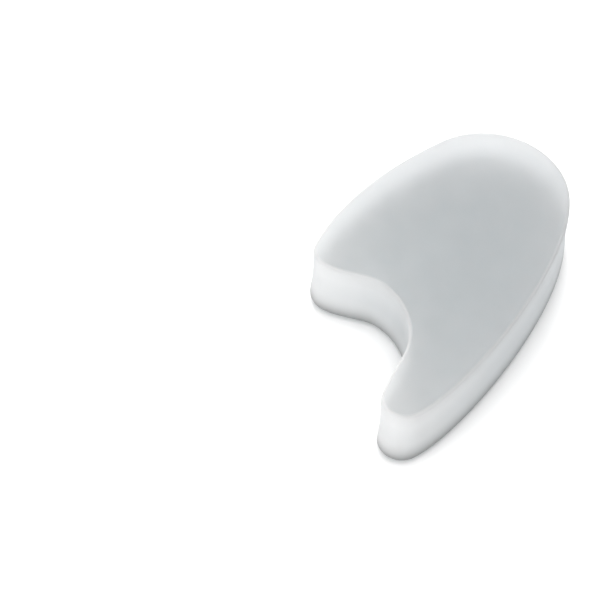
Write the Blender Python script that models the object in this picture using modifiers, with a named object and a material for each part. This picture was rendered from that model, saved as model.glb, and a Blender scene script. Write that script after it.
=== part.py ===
# Gel toe separator: one flat-faced slab of soft gel with a round lobe, a short horn, a long horn and a wide notch
# between the horns that sits against the skin between two toes.
# Lengths are in metres. The body lies on its lower face, which is in the plane z = 0. +Y points from the horns
# to the round end, and the origin is at the middle of the body's box, on the lower face.
import math

import bmesh
import bpy
from mathutils import Vector

# Overall size
WIDTH = 0.0362  # from the lobe's side to the long horn's side, along X
LENGTH = 0.0305  # from the round end to the end of the short horn, along Y
THICKNESS = 0.0085

# Round end
LOBE_RADIUS = 0.0093

# Horns
SHORT_HORN_RADIUS = 0.0025
LONG_HORN_RADIUS = 0.0027
HORN_SPACING = 0.0215  # between the centres of the two horn ends, along X
LONG_HORN_STEP = 0.0005  # how far the long horn's end stands back from the short horn's end

# Notch between the horns
NOTCH_RADIUS = 0.0083
NOTCH_DEPTH = 0.0070  # from the end of the short horn to the bottom of the notch
NOTCH_OFFSET = 0.0102  # from the short horn's centre to the middle of the notch, along X

# Moulded edges
UPPER_EDGE_RADIUS = 0.0004
LOWER_EDGE_RADIUS = 0.0011

# Fineness of the faceted surface
STEPS_PER_SPAN = 16  # straight pieces between two knots of the outline
LARGEST_ARC_STEP = 60.0  # degrees of an arc that one span may cover
EDGE_SEGMENTS = 4
SHARP_ANGLE = 35.0  # degrees; gentler edges are shaded smooth

# Centres of the four arcs, placed from the sides of the body that they touch
LOBE_CENTRE = Vector((LOBE_RADIUS - WIDTH / 2, LENGTH / 2 - LOBE_RADIUS))
LONG_HORN_CENTRE = Vector((WIDTH / 2 - LONG_HORN_RADIUS, LONG_HORN_STEP + LONG_HORN_RADIUS - LENGTH / 2))
SHORT_HORN_CENTRE = Vector((LONG_HORN_CENTRE.x - HORN_SPACING, SHORT_HORN_RADIUS - LENGTH / 2))
NOTCH_CENTRE = Vector((SHORT_HORN_CENTRE.x + NOTCH_OFFSET, NOTCH_DEPTH - NOTCH_RADIUS - LENGTH / 2))

# The outline's arcs in order, counter-clockwise round the body. start and stop are angles in degrees about the
# arc's centre. From one arc to the next runs a smooth flank, whose two handles are reach_in and reach_out times
# the distance between the arcs: reach_in belongs to the flank that ends at the arc, reach_out to the next one.
ARC_COLUMNS = ("centre", "radius", "start", "stop", "reach_in", "reach_out")
ARCS = (
    (LOBE_CENTRE, LOBE_RADIUS, 87, 194, 0.25, 0.36),
    (SHORT_HORN_CENTRE, SHORT_HORN_RADIUS, 229, 308, 0.30, 0.37),
    (NOTCH_CENTRE, NOTCH_RADIUS, 125, 55, 0.20, 0.20),
    (LONG_HORN_CENTRE, LONG_HORN_RADIUS, 262, 375, 0.17, 0.19),
)

GEL_COLOUR = (0.47, 0.52, 0.54, 1.0)
GEL_ROUGHNESS = 0.3
GEL_IOR = 1.41
GEL_TRANSMISSION = 0.6


def clear_scene():
    for item in list(bpy.data.objects):
        bpy.data.objects.remove(item, do_unlink=True)


def make_gel():
    gel = bpy.data.materials.new("clear_gel")
    gel.use_nodes = True
    shader = gel.node_tree.nodes["Principled BSDF"]
    shader.inputs["Base Color"].default_value = GEL_COLOUR
    shader.inputs["Metallic"].default_value = 0.0
    shader.inputs["Roughness"].default_value = GEL_ROUGHNESS
    shader.inputs["IOR"].default_value = GEL_IOR
    shader.inputs["Transmission Weight"].default_value = GEL_TRANSMISSION
    return gel


# Knots along one arc, as (point, handle): a handle leads forward along the tangent and makes each span round.
def arc_knots(arc):
    sweep = math.radians(arc["stop"] - arc["start"])
    spans = math.ceil(abs(sweep) / math.radians(LARGEST_ARC_STEP))
    step = sweep / spans
    handle_length = 4 / 3 * math.tan(step / 4) * arc["radius"]
    knots = []
    for index in range(spans + 1):
        angle = math.radians(arc["start"]) + index * step
        outward = Vector((math.cos(angle), math.sin(angle)))
        tangent = Vector((-outward.y, outward.x))
        knots.append((arc["centre"] + outward * arc["radius"], tangent * handle_length))
    return knots


# All knots of the outline, as (point, handle before, handle after).
def outline_knots():
    arcs = [dict(zip(ARC_COLUMNS, row)) for row in ARCS]
    runs = [arc_knots(arc) for arc in arcs]
    knots = []
    for index, (arc, run) in enumerate(zip(arcs, runs)):
        last_of_previous = runs[index - 1][-1][0]
        first_of_next = runs[(index + 1) % len(runs)][0][0]
        for place, (point, handle) in enumerate(run):
            before = handle
            after = handle
            if place == 0:
                before = handle.normalized() * arc["reach_in"] * (point - last_of_previous).length
            if place == len(run) - 1:
                after = handle.normalized() * arc["reach_out"] * (first_of_next - point).length
            knots.append((point, point - before, point + after))
    return knots


# The filled outline, as thick as the body, as a curve object.
def make_outline():
    curve = bpy.data.curves.new("body_outline", "CURVE")
    curve.dimensions = "2D"
    curve.fill_mode = "BOTH"
    curve.extrude = THICKNESS / 2
    curve.resolution_u = STEPS_PER_SPAN
    spline = curve.splines.new("BEZIER")
    knots = outline_knots()
    spline.bezier_points.add(len(knots) - 1)
    for bezier_point, (point, before, after) in zip(spline.bezier_points, knots):
        bezier_point.handle_left_type = "FREE"
        bezier_point.handle_right_type = "FREE"
        bezier_point.co = point.to_3d()
        bezier_point.handle_left = before.to_3d()
        bezier_point.handle_right = after.to_3d()
    spline.use_cyclic_u = True
    outline = bpy.data.objects.new("body_outline", curve)
    outline.location.z = THICKNESS / 2
    return outline


# The curve as a closed mesh: caps welded to the wall, and each cap one flat face.
def mesh_from_outline(outline, collection):
    collection.objects.link(outline)
    bpy.context.view_layer.update()
    evaluated = outline.evaluated_get(bpy.context.evaluated_depsgraph_get())
    mesh = bpy.data.meshes.new_from_object(evaluated)
    work = bmesh.new()
    work.from_mesh(mesh)
    bmesh.ops.remove_doubles(work, verts=work.verts, dist=UPPER_EDGE_RADIUS / 100)
    work.normal_update()
    inside_caps = [
        edge for edge in work.edges
        if len(edge.link_faces) == 2 and all(abs(face.normal.z) > 0.5 for face in edge.link_faces)
    ]
    bmesh.ops.dissolve_edges(work, edges=inside_caps, use_verts=False)
    bmesh.ops.recalc_face_normals(work, faces=work.faces)
    work.to_mesh(mesh)
    work.free()
    return mesh


# Rounds the rim at one height of the slab, by a vertex group and a bevel limited to it.
def round_rim(body, name, height, radius):
    rim = body.vertex_groups.new(name=name)
    rim.add([v.index for v in body.data.vertices if abs(v.co.z - height) < THICKNESS / 4], 1.0, "REPLACE")
    bevel = body.modifiers.new(name, "BEVEL")
    bevel.limit_method = "VGROUP"
    bevel.vertex_group = name
    bevel.offset_type = "OFFSET"
    bevel.width = radius
    bevel.segments = EDGE_SEGMENTS
    bevel.use_clamp_overlap = True


def make_body(collection, gel):
    outline = make_outline()
    mesh = mesh_from_outline(outline, collection)
    body = bpy.data.objects.new("gel_body", mesh)
    body.matrix_world = outline.matrix_world
    bpy.data.objects.remove(outline, do_unlink=True)
    mesh.name = "gel_body"
    mesh.materials.clear()
    mesh.materials.append(gel)
    collection.objects.link(body)
    mesh.shade_smooth()
    mesh.set_sharp_from_angle(angle=math.radians(SHARP_ANGLE))
    round_rim(body, "upper_edge", THICKNESS / 2, UPPER_EDGE_RADIUS)
    round_rim(body, "lower_edge", -THICKNESS / 2, LOWER_EDGE_RADIUS)
    return body


def main():
    clear_scene()
    collection = bpy.data.collections.new("toe_separator")
    bpy.context.scene.collection.children.link(collection)
    make_body(collection, make_gel())


main()
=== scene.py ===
import math

import bmesh
import bpy
import numpy as np
from mathutils import Matrix, Vector


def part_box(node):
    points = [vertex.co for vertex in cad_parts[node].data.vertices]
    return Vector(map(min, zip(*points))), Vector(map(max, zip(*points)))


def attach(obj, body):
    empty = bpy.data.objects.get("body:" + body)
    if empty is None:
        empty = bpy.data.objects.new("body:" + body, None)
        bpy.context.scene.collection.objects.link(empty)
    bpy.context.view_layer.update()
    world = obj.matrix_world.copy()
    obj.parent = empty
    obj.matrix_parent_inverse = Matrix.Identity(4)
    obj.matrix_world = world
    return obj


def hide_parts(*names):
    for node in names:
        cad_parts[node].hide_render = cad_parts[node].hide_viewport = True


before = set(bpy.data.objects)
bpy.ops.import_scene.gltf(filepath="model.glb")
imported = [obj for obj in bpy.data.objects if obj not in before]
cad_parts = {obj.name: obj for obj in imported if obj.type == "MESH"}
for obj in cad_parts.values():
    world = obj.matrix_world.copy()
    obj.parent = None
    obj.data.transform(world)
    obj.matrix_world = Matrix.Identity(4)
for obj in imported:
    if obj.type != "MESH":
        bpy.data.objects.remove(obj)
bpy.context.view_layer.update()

print("gel toe separator: frame loaded")

mm = 0.001
low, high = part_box("gel_body")


# The body's outline and edges. Its width, length and thickness come from the frame.
bodyLook = {
    "lobeRadius": 9.3 * mm,
    "shortHornRadius": 2.5 * mm,
    "longHornRadius": 2.7 * mm,
    "hornSpacing": 21.5 * mm,  # between the centres of the two horn ends
    "longHornStep": 0.5 * mm,  # how far the long horn's end stands back
    "notchRadius": 8.3 * mm,
    "notchDepth": 7.0 * mm,
    "notchOffset": 10.2 * mm,  # from the short horn's centre to the middle of the notch
    "shortHornTip": 281,  # degrees, the way each horn points
    "longHornTip": 310,
    "upperEdge": 0.4 * mm,
    "lowerEdge": 1.1 * mm,
    "wallHollow": 0.12 * mm,  # how far the middle of the wall draws in
    "ripple": 0.002 * mm,  # of the flat faces
    "sideSteps": 180,
    "edgeSteps": 8,
    "wallSteps": 12,
    "faceSteps": 60,
    "spanSteps": 160,
    "largestArcStep": 60,  # degrees of an arc that one span may cover
}


def outlineArcs(look):
    # The four arcs in order, counter-clockwise: where each lies, its radius, its first and last angle in degrees,
    # and how far the flanks before and after it reach along its tangents, as shares of their chords.
    lobe = (low.x + look["lobeRadius"], high.y - look["lobeRadius"])
    longHorn = (high.x - look["longHornRadius"], low.y + look["longHornStep"] + look["longHornRadius"])
    shortHorn = (longHorn[0] - look["hornSpacing"], low.y + look["shortHornRadius"])
    notch = (shortHorn[0] + look["notchOffset"], low.y + look["notchDepth"] - look["notchRadius"])
    columns = ("centre", "radius", "first", "last", "before", "after")
    rows = (
        (lobe, look["lobeRadius"], 87, 194, 0.25, 0.36),
        (shortHorn, look["shortHornRadius"], 229, 308, 0.30, 0.37),
        (notch, look["notchRadius"], 125, 55, 0.20, 0.20),
        (longHorn, look["longHornRadius"], 262, 375, 0.17, 0.19),
    )
    return [dict(zip(columns, row)) for row in rows]


def arcSpans(arc, largestStep):
    # An arc as cubic spans. Handles along the tangent, 4/3 tan(step / 4) times the radius long, make each span
    # round.
    turn = arc["last"] - arc["first"]
    count = math.ceil(abs(turn) / largestStep)
    angle = np.radians(np.linspace(arc["first"], arc["last"], count + 1))
    outward = np.stack([np.cos(angle), np.sin(angle)], 1)
    forward = np.stack([-outward[:, 1], outward[:, 0]], 1) * np.sign(turn)
    points = np.array(arc["centre"]) + arc["radius"] * outward
    handle = 4 / 3 * math.tan(abs(angle[1] - angle[0]) / 4) * arc["radius"] * forward
    return np.stack([points[:-1], points[:-1] + handle[:-1], points[1:] - handle[1:], points[1:]], 1), forward


def outlinePath(look):
    # The outline seen from above: the arcs and the flanks that leave and meet them along their tangents. Each span
    # is (1-u)^3 a + 3 (1-u)^2 u b + 3 (1-u) u^2 c + u^3 d, worked out for all spans and all u at once.
    arcs = outlineArcs(look)
    runs = [arcSpans(arc, look["largestArcStep"]) for arc in arcs]
    spans = []
    for arc, run, nextArc, nextRun in zip(arcs, runs, arcs[1:] + arcs[:1], runs[1:] + runs[:1]):
        start, stop = run[0][-1, -1], nextRun[0][0, 0]
        chord = np.linalg.norm(stop - start)
        leave = start + run[1][-1] * arc["after"] * chord
        arrive = stop - nextRun[1][0] * nextArc["before"] * chord
        spans += [run[0], np.stack([start, leave, arrive, stop])[None]]
    a, b, c, d = np.moveaxis(np.concatenate(spans), 1, 0)[:, :, None, :]
    u = np.linspace(0, 1, look["spanSteps"], endpoint=False)[None, :, None]
    path = (1 - u) ** 3 * a + 3 * (1 - u) ** 2 * u * b + 3 * (1 - u) * u ** 2 * c + u ** 3 * d
    return path.reshape(-1, 2)


def hornTips(look):
    # the point of each horn's arc that lies farthest the way the horn points
    arcs = outlineArcs(look)
    angles = np.radians([look["shortHornTip"], look["longHornTip"]])
    centres = np.array([arcs[1]["centre"], arcs[3]["centre"]])
    radii = np.array([[arcs[1]["radius"]], [arcs[3]["radius"]]])
    return centres + radii * np.stack([np.cos(angles), np.sin(angles)], 1)


def outlineRing(look):
    # The outline at 2 * sideSteps points: evenly from the long horn's tip over the lobe to the short horn's
    # tip, then evenly through the notch back. Gives the points and the normals that point out of the body,
    # from the difference between the points a little ahead and a little behind.
    path = outlinePath(look)
    closed = np.vstack([path, path[:1]])
    lengths = np.concatenate([[0], np.cumsum(np.linalg.norm(np.diff(closed, axis=0), axis=1))])
    total = lengths[-1]

    def along(where):
        return np.stack([np.interp(where % total, lengths, closed[:, k]) for k in range(2)], 1)

    shortAt, longAt = (lengths[np.argmin(np.linalg.norm(path - tip, axis=1))] for tip in hornTips(look))
    outer = np.linspace(longAt, shortAt + total, look["sideSteps"], endpoint=False)
    inner = np.linspace(shortAt, longAt, look["sideSteps"], endpoint=False)
    where = np.concatenate([outer, inner])
    forward = along(where + total / 2000) - along(where - total / 2000)
    forward /= np.linalg.norm(forward, axis=1)[:, None]
    return along(where), np.stack([forward[:, 1], -forward[:, 0]], 1)


def edgeProfile(look, thickness):
    # The section through the rim, from the lower face out to the wall and up to the upper face, as how far it lies
    # inside the outline and how high: a quarter circle, a wall that draws in by the square of a half sine, and a
    # quarter circle.
    lower, upper = look["lowerEdge"], look["upperEdge"]
    turn = np.linspace(0, math.pi / 2, look["edgeSteps"] + 1)
    rise = np.linspace(0, 1, look["wallSteps"] + 1)[1:-1]
    inset = np.concatenate([
        lower * (1 - np.sin(turn)),
        look["wallHollow"] * np.sin(math.pi * rise) ** 2,
        upper * (1 - np.cos(turn)),
    ])
    height = np.concatenate([
        lower * (1 - np.cos(turn)),
        lower + (thickness - lower - upper) * rise,
        thickness - upper * (1 - np.sin(turn)),
    ])
    return inset, height


def faintWaves(x, y):
    # a few long waves that cross each other: the mean of sines along different directions, in radians per metre
    waves = ((410, 130, 0.3), (-220, 380, 1.9), (620, -310, 4.1), (150, 700, 2.6), (-830, -240, 0.8))
    return sum(np.sin(kx * x + ky * y + shift) for kx, ky, shift in waves) / len(waves)


def faceGrid(ring, look, side):
    # A flat face: straight lines from the notch side to the lobe side, from the long horn's tip to the short horn's
    # tip, with the faint waves times the square root of 4 s (1 - s) along each line.
    count = look["sideSteps"]
    outer = ring[:count + 1]
    inner = np.vstack([ring[count:], ring[:1]])[::-1]
    s = np.linspace(0, 1, look["faceSteps"] + 1)[None, :, None]
    grid = (1 - s) * inner[:, None, :] + s * outer[:, None, :]
    middle = 4 * s[..., 0] * (1 - s[..., 0])
    grid[..., 2] += side * middle ** 0.5 * look["ripple"] * faintWaves(grid[..., 0], grid[..., 1])
    return grid


def addGrid(work, grid, closedRows=False):
    # one quad between each four neighbouring points of a grid of points
    rows, columns = grid.shape[:2]
    index = np.arange(rows * columns).reshape(rows, columns)
    if closedRows:
        index = np.hstack([index, index[:, :1]])
    quads = np.stack([index[:-1, :-1], index[:-1, 1:], index[1:, 1:], index[1:, :-1]], -1).reshape(-1, 4)
    mesh = bpy.data.meshes.new("grid")
    mesh.from_pydata(grid.reshape(-1, 3), [], quads)
    work.from_mesh(mesh)
    bpy.data.meshes.remove(mesh)


def makeBody(look):
    # The wall is the edge profile carried along the outline: each point is the outline's point, moved in along
    # its normal by the profile's inset, at the profile's height. The two faces close it.
    ring, outward = outlineRing(look)
    inset, height = edgeProfile(look, high.z - low.z)
    wall = np.zeros((len(inset), len(ring), 3))
    wall[..., :2] = ring[None] - outward[None] * inset[:, None, None]
    wall[..., 2] = low.z + height[:, None]
    work = bmesh.new()
    addGrid(work, wall, closedRows=True)
    addGrid(work, faceGrid(wall[-1], look, 1))
    addGrid(work, faceGrid(wall[0], look, -1))
    bmesh.ops.remove_doubles(work, verts=work.verts, dist=1e-7)
    bmesh.ops.recalc_face_normals(work, faces=work.faces)
    mesh = bpy.data.meshes.new("gelBody")
    work.to_mesh(mesh)
    work.free()
    mesh.shade_smooth()
    made = bpy.data.objects.new("gelBody", mesh)
    bpy.context.scene.collection.objects.link(made)
    return made


class Socket:
    # One output of a material's nodes. Arithmetic on it adds Math nodes, and node() adds any other node.
    def __init__(self, tree, output=None):
        self.tree = tree
        self.output = output

    def node(self, kind, settings=None, sockets=None, output=0):
        made = self.tree.nodes.new(kind)
        for name, value in (settings or {}).items():
            setattr(made, name, value)
        for name, value in (sockets or {}).items():
            if isinstance(value, Socket):
                self.tree.links.new(value.output, made.inputs[name])
            else:
                made.inputs[name].default_value = value
        return Socket(self.tree, made.outputs[output] if made.outputs else None)

    def maths(self, operation, first, second, clamped=False):
        return self.node("ShaderNodeMath", {"operation": operation, "use_clamp": clamped}, {0: first, 1: second})

    def __add__(self, other):
        return self.maths("ADD", self, other)

    def __sub__(self, other):
        return self.maths("SUBTRACT", self, other)

    def __rsub__(self, other):
        return self.maths("SUBTRACT", other, self)

    def __mul__(self, other):
        return self.maths("MULTIPLY", self, other)

    def __truediv__(self, other):
        return self.maths("DIVIDE", self, other)

    def clamped(self):
        return self.maths("ADD", self, 0.0, clamped=True)

    def blend(self, first, second):
        # the first colour where this is 0 and the second where it is 1
        first, second = (value if isinstance(value, Socket) else (*value, 1) for value in (first, second))
        sockets = {"Factor": self, 6: first, 7: second}
        return self.node("ShaderNodeMix", {"data_type": "RGBA"}, sockets, output=2)

    __radd__ = __add__
    __rmul__ = __mul__


def newMaterial(name):
    # an empty material and the Socket that its first nodes are added from
    material = bpy.data.materials.new(name)
    material.use_nodes = True
    material.node_tree.nodes.clear()
    return material, Socket(material.node_tree)


# Soft gel: the flat faces let light through, the moulded wall is frosted, and the thickness takes some light away.
# The wall's colour carries painted shade along the thick round end, at the bottom of the notch, near the lower edge
# and close below the upper face, and the lower face is painted dark as shade under the body.
gelLook = {
    "colour": (0.830, 0.875, 0.880),
    "cloudColour": (0.910, 0.940, 0.940),  # of the faint lighter clouds in it
    "cloudScale": 450.0,
    "cloudDetail": 4.0,
    "cloudRoughness": 0.6,
    "cloudContrast": 3.0,
    "cloudFrost": 0.10,  # how much the clouds change the upper face's frost
    "faceRoughness": 0.64,
    "ior": 1.41,
    "frostColour": (0.805, 0.795, 0.790),  # on the thin horns
    "thickShadeColour": (0.730, 0.720, 0.720),  # painted shade: the wall's darker colour along the thick round end, where less light gets through
    "thickShadeReach": 17.0 * mm,  # from the horns' ends to where it is fully so
    "notchShade": 0.33,  # painted shade: how much darker the wall at the bottom of the notch is painted, and how far that reaches
    "notchReach": 7.5 * mm,
    "paintedShadeColour": (0.15, 0.15, 0.15),  # painted shade: the dark colour that the wall is blended towards near the lower edge, at the bottom of the notch and close below the upper face
    "edgeFade": 3.6 * mm,  # how high the painted shade of the lower edge reaches
    "rimShade": 0.22,  # painted shade: how much darker the wall is painted close below the upper face, and how far down that reaches
    "rimReach": 2.0 * mm,
    "underShadeColour": (0.18, 0.23, 0.24),  # painted shade under the body: the lower face is painted dark blue-grey, and the upper face is seen through to it
    "frostRoughness": 0.40,
    "frostGloss": 0.05,
    "frostGlow": 0.50,  # share of the frosted skin that lets light through from behind
    "faceFrost": 0.54,  # share of the skin that is frosted, on the upper face, the wall and the lower face
    "wallFrost": 0.85,
    "baseFrost": 0.84,
    "rimStart": 0.004 * mm,  # how far below the upper face the wall's frost begins, and how far it takes to grow
    "rimFade": 0.012 * mm,
    "baseFade": 0.30 * mm,
    "depthColour": (0.05, 0.39, 0.57),
    "depthDensity": 15.0,
    "grainScale": 600.0,
    "grainDetail": 3.0,
    "grainRoughness": 0.5,
    "grainHeight": 0.01 * mm,
}


def gelMaterial(look):
    material, start = newMaterial("milkyGel")
    place = start.node("ShaderNodeTexCoord", output="Object")
    height = start.node("ShaderNodeSeparateXYZ", sockets={"Vector": place}, output="Z") - low.z
    along = start.node("ShaderNodeSeparateXYZ", sockets={"Vector": place}, output="Y") - low.y
    depth = high.z - low.z - height
    belowFace = ((depth - look["rimStart"]) / look["rimFade"]).clamped()
    aboveBase = (height / look["baseFade"]).clamped()

    noise = start.node("ShaderNodeTexNoise", sockets={
        "Vector": place,
        "Scale": look["cloudScale"],
        "Detail": look["cloudDetail"],
        "Roughness": look["cloudRoughness"],
    })
    clouds = ((noise - 0.5) * look["cloudContrast"] + 0.5).clamped()
    onFace = (1 - belowFace) * (1 + (clouds - 0.5) * look["cloudFrost"]) * look["faceFrost"]
    frosted = onFace + belowFace * aboveBase * look["wallFrost"] + (1 - aboveBase) * look["baseFrost"]

    # painted shade, as how well lit the skin is painted: less near the lower edge, by 3 t^2 - 2 t^3 of the height,
    # and a little near the rim
    rise = (height / look["edgeFade"]).clamped()
    nearRim = (1 - depth / look["rimReach"]).clamped() * belowFace
    lit = rise * rise * (3 - 2 * rise) * (1 - nearRim * look["rimShade"])
    # painted shade at the bottom of the notch, fading with the distance from it
    notch = outlineArcs(bodyLook)[2]
    notchBottom = Vector((notch["centre"][0], notch["centre"][1] + notch["radius"], (low.z + high.z) / 2))
    away = start.node("ShaderNodeVectorMath", {"operation": "DISTANCE"}, {0: place, 1: notchBottom}, output="Value")
    inNotch = (1 - away / look["notchReach"]).clamped() * belowFace
    # painted shade: the wall's colour goes from the frost colour at the horns to the darker thick colour along the
    # round end, and the glow takes it too
    wallColourThickShaded = (along / look["thickShadeReach"]).clamped().blend(look["frostColour"], look["thickShadeColour"])
    # painted shade: the skin's colour darkens towards the painted shade colour near the lower edge, close below the
    # upper face and at the bottom of the notch
    shadedColour = (lit * (1 - inNotch * look["notchShade"])).blend(look["paintedShadeColour"], wallColourThickShaded)

    grain = start.node("ShaderNodeTexNoise", sockets={
        "Vector": place,
        "Scale": look["grainScale"],
        "Detail": look["grainDetail"],
        "Roughness": look["grainRoughness"],
    })
    bump = start.node("ShaderNodeBump", sockets={"Distance": look["grainHeight"], "Height": grain}, output="Normal")
    gel = start.node("ShaderNodeBsdfPrincipled", sockets={
        "Base Color": clouds.blend(look["colour"], look["cloudColour"]),
        "Roughness": look["faceRoughness"],
        "IOR": look["ior"],
        "Transmission Weight": 1.0,
        "Normal": bump,
    })
    skin = start.node("ShaderNodeBsdfPrincipled", sockets={
        # painted shade: the lower face takes the dark colour under the body
        "Base Color": aboveBase.blend(look["underShadeColour"], shadedColour),
        "Roughness": look["frostRoughness"],
        "IOR": look["ior"],
        "Specular IOR Level": look["frostGloss"],
    })
    glow = start.node("ShaderNodeBsdfTranslucent", sockets={"Color": wallColourThickShaded})
    # the painted shade also cuts the share of the frosted skin that lets light through from behind
    frost = start.node("ShaderNodeMixShader", sockets={0: lit * look["frostGlow"], 1: skin, 2: glow})
    surface = start.node("ShaderNodeMixShader", sockets={0: frosted, 1: gel, 2: frost})
    inside = start.node("ShaderNodeVolumeAbsorption", sockets={
        "Color": (*look["depthColour"], 1),
        "Density": look["depthDensity"],
    })
    start.node("ShaderNodeOutputMaterial", sockets={"Surface": surface, "Volume": inside})
    return material


floorLook = {"halfWidth": 1.5, "gap": 0.05 * mm, "colour": (0.90, 0.90, 0.90), "roughness": 0.9}


def makeFloor(look):
    material, start = newMaterial("paleFloor")
    plain = start.node("ShaderNodeBsdfPrincipled", sockets={
        "Base Color": (*look["colour"], 1),
        "Roughness": look["roughness"],
        "Specular IOR Level": 0.0,
    })
    start.node("ShaderNodeOutputMaterial", sockets={"Surface": plain})
    half, level = look["halfWidth"], low.z - look["gap"]
    corners = [(-half, -half, level), (half, -half, level), (half, half, level), (-half, half, level)]
    mesh = bpy.data.meshes.new("floor")
    mesh.from_pydata(corners, [], [(0, 1, 2, 3)])
    mesh.materials.append(material)
    made = bpy.data.objects.new("floor", mesh)
    bpy.context.scene.collection.objects.link(made)


# An even pale sky and square soft lights that aim at the body, each turned round it from +X towards +Y.
lightLook = {
    "skyColour": (1.0, 1.0, 1.0),
    "skyStrength": 1.00,
    "distance": 0.30,
    "lights": {
        "front": {"turn": -65, "rise": 14, "power": 0.56, "size": 0.20},
        "behind": {"turn": 168, "rise": 28, "power": 0.80, "size": 0.20},
        "above": {"turn": 0, "rise": 90, "power": 0.30, "size": 0.20},
    },
}


def makeLights(look):
    world = bpy.data.worlds.new("paleSky")
    bpy.context.scene.world = world
    world.use_nodes = True
    sky = world.node_tree.nodes["Background"]
    sky.inputs["Color"].default_value = (*look["skyColour"], 1)
    sky.inputs["Strength"].default_value = look["skyStrength"]
    for name, light in look["lights"].items():
        turn, rise = math.radians(light["turn"]), math.radians(light["rise"])
        away = Vector((math.cos(turn) * math.cos(rise), math.sin(turn) * math.cos(rise), math.sin(rise)))
        data = bpy.data.lights.new(name, "AREA")
        data.energy = light["power"]
        data.size = light["size"]
        lamp = bpy.data.objects.new(name, data)
        lamp.location = (low + high) / 2 + away * look["distance"]
        lamp.rotation_euler = away.to_track_quat("Z", "Y").to_euler()
        bpy.context.scene.collection.objects.link(lamp)


cameraLook = {
    "azimuth": 67.5,
    "elevation": 51.8,
    "roll": -5.1,
    "lens": 400.0,
    "sensor": 36.0,
    "framePixels": 600,
    "pixelsPerMetre": 9010.0,
    "bodyPixel": (460.3, 290.8),  # where the middle of the body lies in the picture
}


def makeCamera(look):
    # The camera stands far off with a long lens, turned by azimuth, elevation and roll, and is slid sideways in its
    # own plane until the middle of the body lies at bodyPixel.
    azimuth, elevation, roll = (math.radians(look[k]) for k in ("azimuth", "elevation", "roll"))
    back = Vector((
        math.sin(azimuth) * math.cos(elevation),
        -math.cos(azimuth) * math.cos(elevation),
        math.sin(elevation),
    ))
    level = Vector((math.cos(azimuth), math.sin(azimuth), 0))
    upright = back.cross(level)
    right = level * math.cos(roll) - upright * math.sin(roll)
    up = level * math.sin(roll) + upright * math.cos(roll)
    distance = look["framePixels"] / look["pixelsPerMetre"] * look["lens"] / look["sensor"]
    half = look["framePixels"] / 2
    across = (half - look["bodyPixel"][0]) / look["pixelsPerMetre"]
    above = (look["bodyPixel"][1] - half) / look["pixelsPerMetre"]
    data = bpy.data.cameras.new("camera")
    data.lens = look["lens"]
    data.sensor_width = look["sensor"]
    data.clip_start = distance * 0.1
    data.clip_end = distance * 10
    made = bpy.data.objects.new("camera", data)
    place = (low + high) / 2 + right * across + up * above + back * distance
    made.matrix_world = Matrix.Translation(place) @ Matrix((right, up, back)).transposed().to_4x4()
    bpy.context.scene.collection.objects.link(made)
    bpy.context.scene.camera = made


bpy.context.scene.view_settings.view_transform = "Standard"
makeCamera(cameraLook)
makeLights(lightLook)
makeFloor(floorLook)
print("gel toe separator: stage ready")

gelBody = makeBody(bodyLook)
gelBody.data.materials.append(gelMaterial(gelLook))
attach(gelBody, "root")
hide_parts("gel_body")
print("gel toe separator: body ready,", len(gelBody.data.polygons), "faces")
